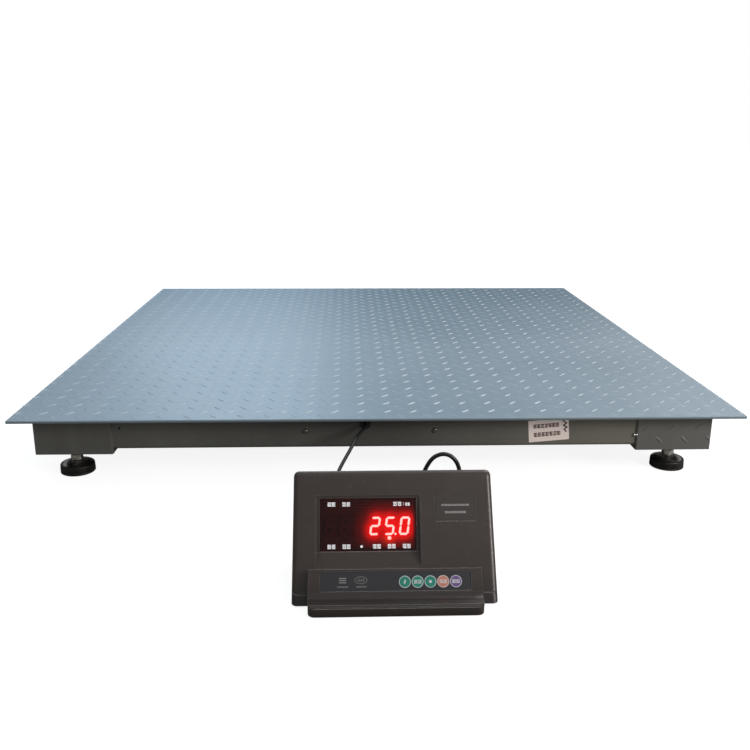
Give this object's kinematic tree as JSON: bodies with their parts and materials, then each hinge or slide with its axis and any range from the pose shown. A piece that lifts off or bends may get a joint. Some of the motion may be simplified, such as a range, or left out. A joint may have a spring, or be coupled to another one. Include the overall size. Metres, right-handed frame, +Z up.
{
  "type": "floor platform scale",
  "caption": "Low square floor scale: raised-pattern steel deck on levelling feet and load cells, cabled to a small sloped-face weighing indicator with a red display and round keys",
  "frame": {"origin": "centre of the top face of the deck plate; the floor is at Z = -0.120 m", "axes": "+X to the right seen from the indicator, +Y to the back of the platform, +Z up"},
  "size_m": [1.2, 1.591, 0.1414],
  "materials": {
    "deck_paint": "worn blue-grey paint on raised-pattern steel, some bare metal at the edges",
    "frame_paint": "dark olive-grey satin paint",
    "cell_steel": "nickel-plated alloy steel",
    "zinc_steel": "zinc-plated steel",
    "foot_metal": "bright plated steel",
    "foot_rubber": "black rubber",
    "white_nylon": "natural nylon",
    "cable_grey": "grey PVC",
    "cord_black": "black PVC",
    "box_plastic": "grey ABS",
    "black_plastic": "black moulded plastic",
    "circuit_board": "green solder mask",
    "label_film": "printed film",
    "case_plastic": "dark warm grey ABS, fine texture",
    "window_red": "dark red transparent acrylic",
    "led_segments": "red light-emitting segments",
    "overlay_film": "slate printed film",
    "key_green": "green printed key",
    "key_orange": "salmon-orange printed key",
    "key_purple": "purple printed key",
    "core_steel": "varnished laminated steel"
  },
  "bodies": {
    "platform": {"cable_glands": "black_plastic", "corner_box_front_left": "frame_paint", "corner_box_front_right": "frame_paint", "corner_box_rear_left": "frame_paint", "corner_box_rear_right": "frame_paint", "deck_plate": "deck_paint", "deck_ribs": "frame_paint", "frame_screws": "zinc_steel", "front_beam": "frame_paint", "indicator_base_case": "case_plastic", "indicator_battery": "black_plastic", "indicator_case_screws": "zinc_steel", "indicator_display_board": "circuit_board", "indicator_display_window": "window_red", "indicator_front_case": "case_plastic", "indicator_key_board": "circuit_board", "indicator_keypad_overlay": "overlay_film", "indicator_led_digits": "led_segments", "indicator_main_board": "circuit_board", "indicator_power_cord": "cord_black", "indicator_rubber_feet": "foot_rubber", "indicator_signal_plug": "cable_grey", "indicator_switch_body": "black_plastic", "indicator_transformer": "core_steel", "junction_board": "circuit_board", "junction_box": "box_plastic", "junction_box_lid": "box_plastic", "labels": "label_film", "left_beam": "frame_paint", "load_cell_cables": "cable_grey", "load_cell_fasteners": "zinc_steel", "load_cell_front_left": "cell_steel", "load_cell_front_right": "cell_steel", "load_cell_rear_left": "cell_steel", "load_cell_rear_right": "cell_steel", "rear_beam": "frame_paint", "right_beam": "frame_paint", "signal_cable": "cable_grey"},
    "foot_front_left_carrier": {"foot_front_left_ball_seat": "white_nylon"},
    "foot_front_left_screw": {"foot_front_left_stud": "zinc_steel"},
    "foot_front_left_pad": {"foot_front_left_cup": "foot_metal", "foot_front_left_sole": "foot_rubber"},
    "foot_front_right_carrier": {"foot_front_right_ball_seat": "white_nylon"},
    "foot_front_right_screw": {"foot_front_right_stud": "zinc_steel"},
    "foot_front_right_pad": {"foot_front_right_cup": "foot_metal", "foot_front_right_sole": "foot_rubber"},
    "foot_rear_left_carrier": {"foot_rear_left_ball_seat": "white_nylon"},
    "foot_rear_left_screw": {"foot_rear_left_stud": "zinc_steel"},
    "foot_rear_left_pad": {"foot_rear_left_cup": "foot_metal", "foot_rear_left_sole": "foot_rubber"},
    "foot_rear_right_carrier": {"foot_rear_right_ball_seat": "white_nylon"},
    "foot_rear_right_screw": {"foot_rear_right_stud": "zinc_steel"},
    "foot_rear_right_pad": {"foot_rear_right_cup": "foot_metal", "foot_rear_right_sole": "foot_rubber"},
    "key_1": {"indicator_key_1": "key_green"},
    "key_2": {"indicator_key_2": "key_green"},
    "key_3": {"indicator_key_3": "key_green"},
    "key_4": {"indicator_key_4": "key_orange"},
    "key_5": {"indicator_key_5": "key_purple"},
    "rocker": {"indicator_switch_rocker": "black_plastic"}
  },
  "joints": [
    {"name": "foot_front_left_level", "type": "slide", "parent": "platform", "child": "foot_front_left_carrier", "axis": [0, 0, 1], "range_m": [-0.012, 0.012]},
    {"name": "foot_front_left_spin", "type": "hinge", "parent": "foot_front_left_carrier", "child": "foot_front_left_screw", "pos_m": [-0.521, -0.515, -0.106], "axis": [0, 0, 1], "range_deg": [-2480, 2480]},
    {"name": "foot_front_left_tilt", "type": "hinge", "parent": "foot_front_left_carrier", "child": "foot_front_left_pad", "pos_m": [-0.521, -0.515, -0.106], "axis": [1, 0, 0], "range_deg": [-6, 6]},
    {"name": "foot_front_right_level", "type": "slide", "parent": "platform", "child": "foot_front_right_carrier", "axis": [0, 0, 1], "range_m": [-0.012, 0.012]},
    {"name": "foot_front_right_spin", "type": "hinge", "parent": "foot_front_right_carrier", "child": "foot_front_right_screw", "pos_m": [0.509, -0.515, -0.106], "axis": [0, 0, 1], "range_deg": [-2480, 2480]},
    {"name": "foot_front_right_tilt", "type": "hinge", "parent": "foot_front_right_carrier", "child": "foot_front_right_pad", "pos_m": [0.509, -0.515, -0.106], "axis": [1, 0, 0], "range_deg": [-6, 6]},
    {"name": "foot_rear_left_level", "type": "slide", "parent": "platform", "child": "foot_rear_left_carrier", "axis": [0, 0, 1], "range_m": [-0.012, 0.012]},
    {"name": "foot_rear_left_spin", "type": "hinge", "parent": "foot_rear_left_carrier", "child": "foot_rear_left_screw", "pos_m": [-0.521, 0.515, -0.106], "axis": [0, 0, 1], "range_deg": [-2480, 2480]},
    {"name": "foot_rear_left_tilt", "type": "hinge", "parent": "foot_rear_left_carrier", "child": "foot_rear_left_pad", "pos_m": [-0.521, 0.515, -0.106], "axis": [1, 0, 0], "range_deg": [-6, 6]},
    {"name": "foot_rear_right_level", "type": "slide", "parent": "platform", "child": "foot_rear_right_carrier", "axis": [0, 0, 1], "range_m": [-0.012, 0.012]},
    {"name": "foot_rear_right_spin", "type": "hinge", "parent": "foot_rear_right_carrier", "child": "foot_rear_right_screw", "pos_m": [0.509, 0.515, -0.106], "axis": [0, 0, 1], "range_deg": [-2480, 2480]},
    {"name": "foot_rear_right_tilt", "type": "hinge", "parent": "foot_rear_right_carrier", "child": "foot_rear_right_pad", "pos_m": [0.509, 0.515, -0.106], "axis": [1, 0, 0], "range_deg": [-6, 6]},
    {"name": "key_1_press", "type": "slide", "parent": "platform", "child": "key_1", "axis": [0, -0.8447, 0.5353], "range_m": [-0.0006, 0], "stiffness_N_per_m": 150, "springref_m": 0.002},
    {"name": "key_2_press", "type": "slide", "parent": "platform", "child": "key_2", "axis": [0, -0.8447, 0.5353], "range_m": [-0.0006, 0], "stiffness_N_per_m": 150, "springref_m": 0.002},
    {"name": "key_3_press", "type": "slide", "parent": "platform", "child": "key_3", "axis": [0, -0.8447, 0.5353], "range_m": [-0.0006, 0], "stiffness_N_per_m": 150, "springref_m": 0.002},
    {"name": "key_4_press", "type": "slide", "parent": "platform", "child": "key_4", "axis": [0, -0.8447, 0.5353], "range_m": [-0.0006, 0], "stiffness_N_per_m": 150, "springref_m": 0.002},
    {"name": "key_5_press", "type": "slide", "parent": "platform", "child": "key_5", "axis": [0, -0.8447, 0.5353], "range_m": [-0.0006, 0], "stiffness_N_per_m": 150, "springref_m": 0.002},
    {"name": "power_rocker", "type": "hinge", "parent": "platform", "child": "rocker", "pos_m": [0.104, -0.8325, -0.024], "axis": [1, 0, 0], "range_deg": [0, 20]}
  ],
  "couplings": [
    {"joint": "foot_front_left_spin", "follows": "foot_front_left_level", "rad_per_m": 3590.4},
    {"joint": "foot_front_right_spin", "follows": "foot_front_right_level", "rad_per_m": 3590.4},
    {"joint": "foot_rear_left_spin", "follows": "foot_rear_left_level", "rad_per_m": 3590.4},
    {"joint": "foot_rear_right_spin", "follows": "foot_rear_right_level", "rad_per_m": 3590.4}
  ]
}
